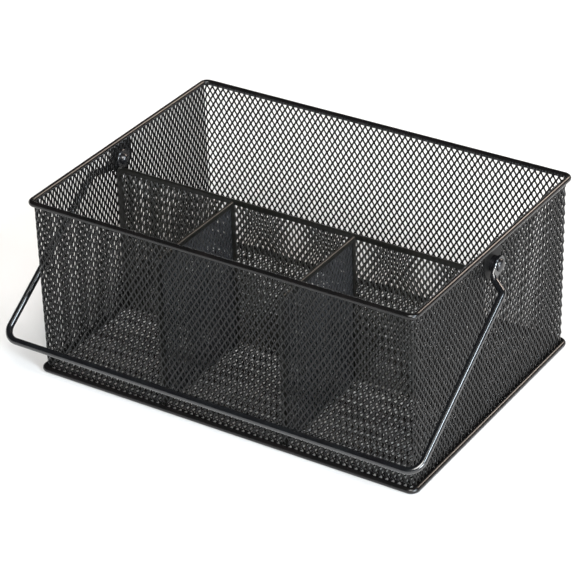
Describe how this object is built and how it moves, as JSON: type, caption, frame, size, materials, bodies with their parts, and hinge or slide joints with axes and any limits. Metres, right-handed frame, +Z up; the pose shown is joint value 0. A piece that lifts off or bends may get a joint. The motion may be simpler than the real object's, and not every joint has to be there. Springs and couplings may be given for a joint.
{
  "type": "desk organizer",
  "caption": "Rectangular desk organizer of black diamond mesh between wire rims, divided into one long and several short compartments, with a swinging wire bail handle.",
  "frame": {"origin": "middle of the basket on the plane that the base rim stands on", "axes": "+X along the length, to the right seen from the front; -Y to the front, where the small compartments and the crossbar are; +Z up"},
  "size_m": [0.3296, 0.2356, 0.134],
  "materials": {
    "rim_wire": "semi-gloss black powder coat",
    "handle_wire": "semi-gloss black powder coat",
    "mesh": "semi-gloss black powder coat",
    "divider_trim": "satin black powder coat",
    "pivot_metal": "semi-gloss black powder coat"
  },
  "bodies": {
    "basket": {"top_rim_wire": "rim_wire", "base_rim_wire": "rim_wire", "front_wall_mesh": "mesh", "back_wall_mesh": "mesh", "left_wall_mesh": "mesh", "right_wall_mesh": "mesh", "floor_mesh": "mesh", "long_divider_mesh": "mesh", "long_divider_rail": "divider_trim", "long_divider_left_edge": "divider_trim", "long_divider_right_edge": "divider_trim", "left_cross_mesh": "mesh", "left_cross_rail": "divider_trim", "left_cross_front_edge": "divider_trim", "left_cross_back_edge": "divider_trim", "right_cross_mesh": "mesh", "right_cross_rail": "divider_trim", "right_cross_front_edge": "divider_trim", "right_cross_back_edge": "divider_trim", "left_pivot_plate": "pivot_metal", "right_pivot_plate": "pivot_metal", "left_inner_washer": "pivot_metal", "right_inner_washer": "pivot_metal", "left_spacer": "pivot_metal", "right_spacer": "pivot_metal", "left_rivet": "pivot_metal", "right_rivet": "pivot_metal"},
    "handle": {"handle": "handle_wire"}
  },
  "joints": [
    {"name": "handle_swing", "type": "hinge", "parent": "basket", "child": "handle", "pos_m": [0, -0.002, 0.1187], "axis": [-1, 0, 0], "range_deg": [-11.4, 258.4]}
  ]
}
